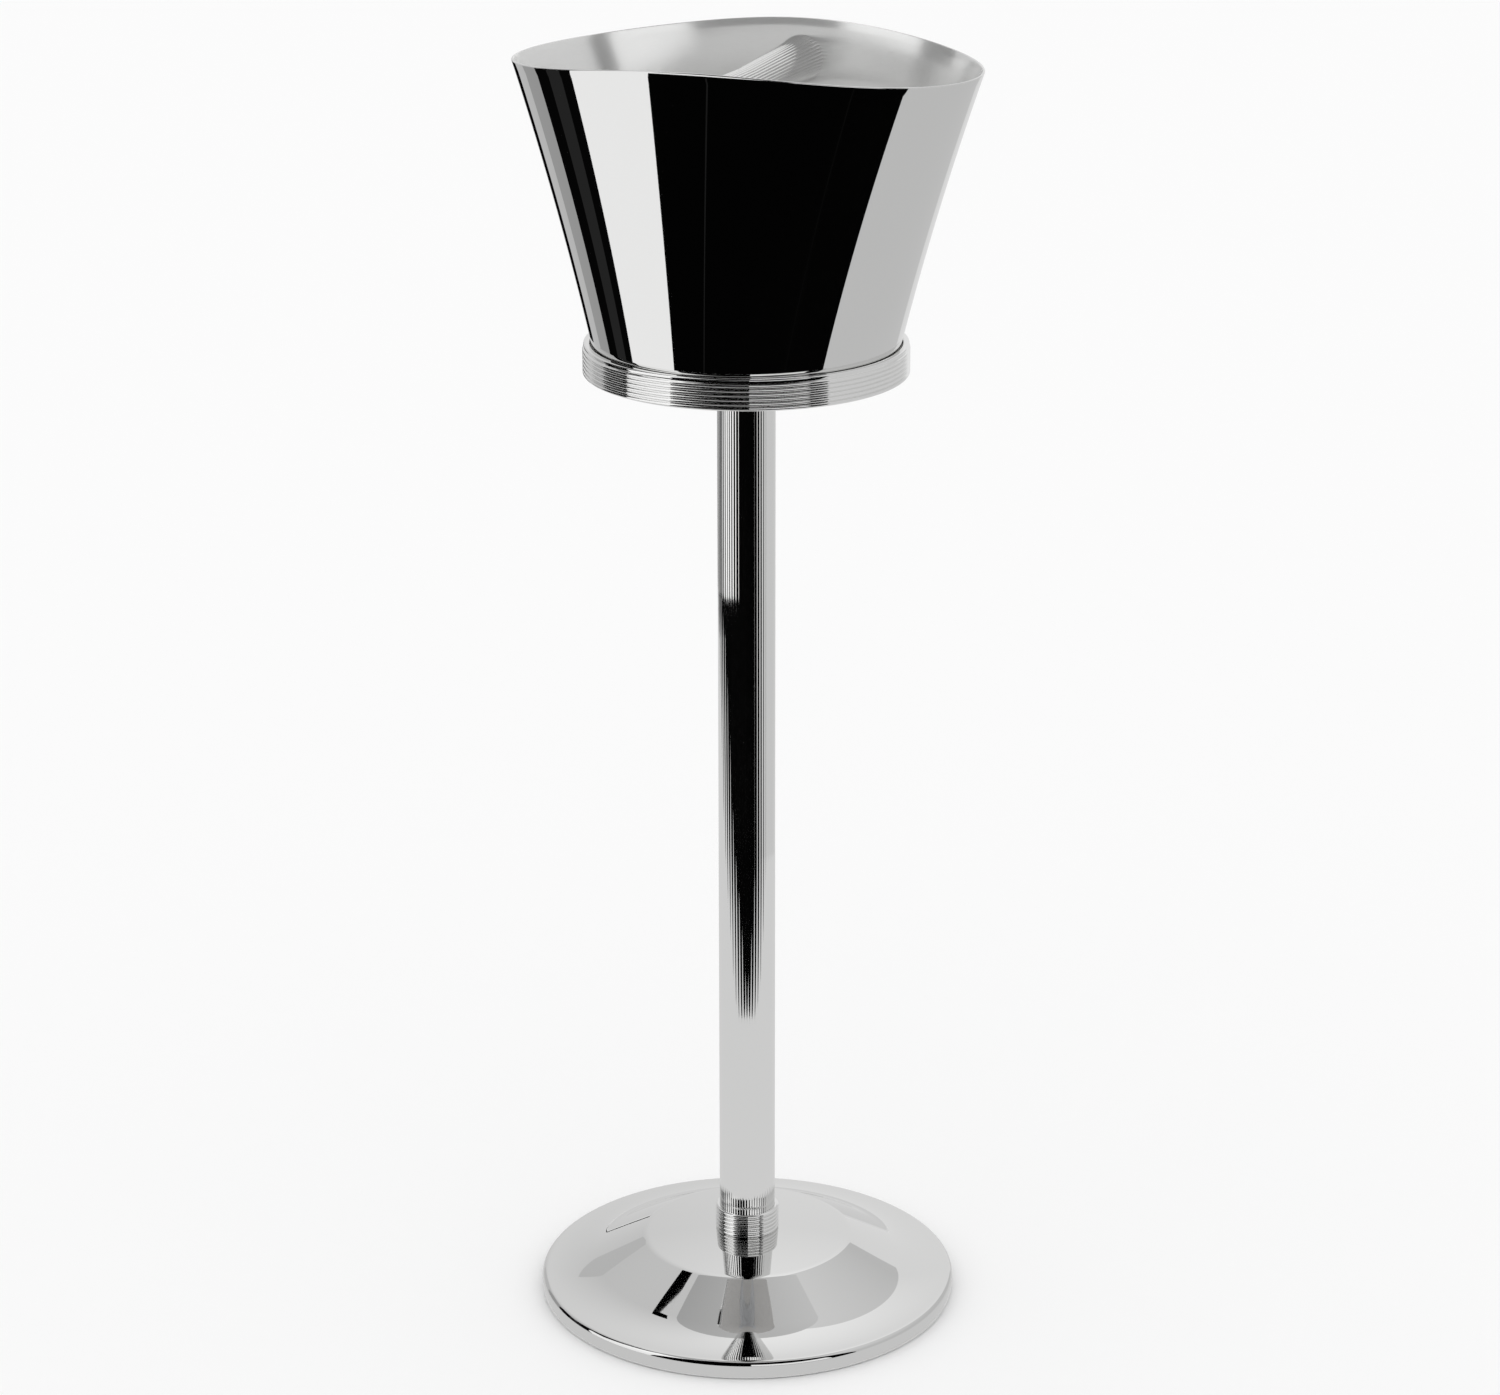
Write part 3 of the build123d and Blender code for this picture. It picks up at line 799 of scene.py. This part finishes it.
def dark_floor():
    """The dark studio floor beyond the board."""
    places = [(reach, heading(bearing)) for bearing, reach in BOARD_EDGE]
    right_end, left_end = BOARD_EDGE[-1][0], BOARD_EDGE[0][0]
    far_bearings = range(right_end, left_end - 1, -STEP_DEGREES)
    places += [(FAR_FLOOR, heading(bearing)) for bearing in far_bearings]
    points = [
        (reach * math.cos(turn), reach * math.sin(turn), DARK_LEVEL) for reach, turn in places
    ]
    card = draw_outline("dark_floor", points)
    bpy.ops.mesh.edge_face_add()
    bpy.ops.object.mode_set(mode="OBJECT")
    card.data.materials.append(emission_finish("dark_floor_glow", 0.001))
    only_in_reflections(card)


# What stands round the studio: bearing from, to, near edge, far edge, height, brightness.
SURROUNDINGS = (
    ("back_grey", -180, -150, NEAR_FLOOR, FAR_FLOOR, FLOOR_LEVEL, 0.76),
    ("back_left_grey", -150, -134, PANEL_NEAR, FAR_FLOOR, PANEL_HEIGHT, 0.55),
    ("back_left_dim", -134, -118, PANEL_NEAR, FAR_FLOOR, PANEL_HEIGHT, 0.36),
    ("left_black_far", -118, -107, PANEL_NEAR, FAR_FLOOR, PANEL_HEIGHT, 0.002),
    ("left_charcoal", -107, -97, PANEL_NEAR, FAR_FLOOR, PANEL_HEIGHT, 0.02),
    ("left_black_near", -97, -90, PANEL_NEAR, FAR_FLOOR, PANEL_HEIGHT, 0.002),
    ("left_white", -90, -53, PANEL_NEAR, FAR_FLOOR, PANEL_HEIGHT, 1.0),
    ("right_grey", 58, 148, NEAR_FLOOR, FAR_FLOOR, FLOOR_LEVEL, 0.60),
    ("back_light", 148, 180, NEAR_FLOOR, FAR_FLOOR, FLOOR_LEVEL, 0.76),
    ("white_board", 0, 360, BASE_RADIUS + CARD_GAP, BOARD_REACH, BOARD_LEVEL, 0.67),
    ("left_cable", -31.6, -31.0, 0.8, 6.0, CABLE_LEVEL, 0.012),
    ("right_cable", 26.8, 27.2, 0.8, 6.0, CABLE_LEVEL, 0.006),
    ("hanging_black", -132, -125.5, 1.60, 1.99, 3.0, 0.0),
)
for card_name, start, end, near, far, height, brightness in SURROUNDINGS:
    sector_card(card_name, start, end, near, far, height, brightness)
dark_floor()


# The same surroundings above the horizon: bearing where each begins, and its brightness.
HORIZON = (
    (-180, 0.76), (-118, 0.002), (-107, 0.02), (-97, 0.002),
    (-90, 1.0), (-53, 0.0), (58, 0.58), (150, 0.80),
)

# Sides of the studio as reflected above the horizon, in bearings and in sines of the rise.
BACK_LEFT_END = -118
BACK_LEFT_FADE = 0.28
FRONT_DARK = (-53, 58)
WINDOW_BEARINGS = (2, 45)
WINDOW_RISES = (0.05, 0.55)
WINDOW_BRIGHTNESS = 0.95
HIGH_RISE = 0.45
HIGH_GAIN = 0.5
OVERHEAD_RISE = 0.905
FRONT_BLACK_RISE = 0.975
CEILING_BRIGHTNESS = 0.52
CEILING_SLOPE = 0.30
SOFT_LIGHT = 1.3
FLOOR_SIZE = 60
FLOOR_TONE = (0.93, 0.93, 0.93, 1)


def make_floor():
    """The pale studio floor."""
    clear_selection()
    bpy.ops.mesh.primitive_plane_add(size=FLOOR_SIZE, location=(0, 0, 0))
    floor = bpy.context.object
    floor.name = "studio_floor"
    finish = bpy.data.materials.new("pale_floor")
    finish.use_nodes = True
    tree = finish.node_tree
    shader = tree.nodes["Principled BSDF"]
    shader.inputs["Base Color"].default_value = FLOOR_TONE
    shader.inputs["Roughness"].default_value = 0.9
    shader.inputs["Specular IOR Level"].default_value = 0.0
    floor.data.materials.append(finish)


def as_turn(degrees):
    """A bearing as a share of a full turn; 0 and 1 are straight behind the stand."""
    return (degrees + 180) / 360


def horizon_ramp(tree, turn):
    """Brightness by bearing, in flat steps, from a turn of 0 to 1."""
    ramp = tree.nodes.new("ShaderNodeValToRGB")
    ramp.color_ramp.interpolation = "CONSTANT"
    steps = ramp.color_ramp.elements
    steps[0].color = (HORIZON[0][1],) * 3 + (1,)
    steps.remove(steps[1])
    for bearing, value in HORIZON[1:]:
        step = steps.new(as_turn(bearing))
        step.color = (value, value, value, 1)
    tree.links.new(turn, ramp.inputs["Fac"])
    return add_math(tree, "ADD", ramp.outputs["Color"], 0)


def inside(tree, value, low, high):
    """1 where a value lies between two limits, 0 elsewhere."""
    above = add_math(tree, "GREATER_THAN", value, low)
    below = add_math(tree, "LESS_THAN", value, high)
    return add_math(tree, "MULTIPLY", above, below)


def blend(tree, share, first, second):
    """The first number where the share is 0, the second where it is 1."""
    step = add_math(tree, "SUBTRACT", second, first)
    return add_math(tree, "ADD", first, add_math(tree, "MULTIPLY", step, share))


def studio_directions(tree):
    """Which way a ray looks: its turn round the column, its sideways share and its rise."""
    direction = tree.nodes.new("ShaderNodeTexCoord")
    turned = tree.nodes.new("ShaderNodeMapping")
    turned.inputs["Rotation"].default_value = (0, 0, math.pi / 2 - CAMERA_BEARING)
    tree.links.new(direction.outputs["Generated"], turned.inputs["Vector"])
    split = tree.nodes.new("ShaderNodeSeparateXYZ")
    tree.links.new(turned.outputs["Vector"], split.inputs[0])
    bearing = add_math(tree, "ARCTAN2", split.outputs["Y"], split.outputs["X"])
    turn = add_math(tree, "ADD", add_math(tree, "DIVIDE", bearing, FULL_TURN), 0.5)
    return turn, split.outputs["Y"], split.outputs["Z"]


def surroundings_brightness(tree):
    """How bright the studio is in the direction of a ray."""
    turn, sideways, rise = studio_directions(tree)
    around = horizon_ramp(tree, turn)
    back_left = as_turn(BACK_LEFT_END)
    faded = add_math(tree, "MULTIPLY", inside(tree, turn, 0, back_left), turn)
    fade = add_math(tree, "MULTIPLY", faded, BACK_LEFT_FADE / back_left)
    around = add_math(tree, "SUBTRACT", around, fade)
    above = add_math(tree, "MAXIMUM", add_math(tree, "SUBTRACT", rise, HIGH_RISE), 0)
    gain = add_math(tree, "ADD", add_math(tree, "MULTIPLY", above, HIGH_GAIN), 1)
    around = add_math(tree, "MULTIPLY", around, gain)
    across = inside(tree, turn, *[as_turn(bearing) for bearing in WINDOW_BEARINGS])
    window = add_math(tree, "MULTIPLY", across, inside(tree, rise, *WINDOW_RISES))
    around = blend(tree, window, around, WINDOW_BRIGHTNESS)
    front = inside(tree, turn, *[as_turn(bearing) for bearing in FRONT_DARK])
    threshold = blend(tree, front, OVERHEAD_RISE, FRONT_BLACK_RISE)
    overhead = add_math(tree, "GREATER_THAN", rise, threshold)
    slope = add_math(tree, "MULTIPLY", sideways, CEILING_SLOPE)
    ceiling = add_math(tree, "ADD", slope, CEILING_BRIGHTNESS)
    return blend(tree, overhead, around, ceiling)


def make_world():
    """Even white light, and the dark and pale parts of the studio where polished metal looks."""
    world = bpy.data.worlds.new("studio_air")
    bpy.context.scene.world = world
    world.use_nodes = True
    tree = world.node_tree
    tree.nodes.clear()
    soft = tree.nodes.new("ShaderNodeBackground")
    soft.inputs["Strength"].default_value = SOFT_LIGHT
    seen = tree.nodes.new("ShaderNodeBackground")
    seen.inputs["Strength"].default_value = 1.0
    tree.links.new(surroundings_brightness(tree), seen.inputs["Color"])
    path = tree.nodes.new("ShaderNodeLightPath")
    mix = tree.nodes.new("ShaderNodeMixShader")
    tree.links.new(path.outputs["Is Glossy Ray"], mix.inputs["Fac"])
    tree.links.new(soft.outputs[0], mix.inputs[1])
    tree.links.new(seen.outputs[0], mix.inputs[2])
    out = tree.nodes.new("ShaderNodeOutputWorld")
    tree.links.new(mix.outputs[0], out.inputs["Surface"])


def make_camera():
    """The lens at the height, distance and bearing of the shot."""
    place = (
        CAMERA_DISTANCE * math.sin(CAMERA_BEARING),
        -CAMERA_DISTANCE * math.cos(CAMERA_BEARING),
        CAMERA_HEIGHT,
    )
    clear_selection()
    bpy.ops.object.camera_add(
        location=place, rotation=(math.pi / 2 - CAMERA_DOWN, CAMERA_ROLL, CAMERA_BEARING)
    )
    camera = bpy.context.object
    camera.data.lens = CAMERA_LENS
    camera.data.sensor_width = SENSOR_WIDTH
    camera.data.shift_x = CAMERA_SIDE_SHIFT
    bpy.context.scene.camera = camera


make_floor()
make_world()
make_camera()
bpy.context.scene.view_settings.view_transform = "Standard"
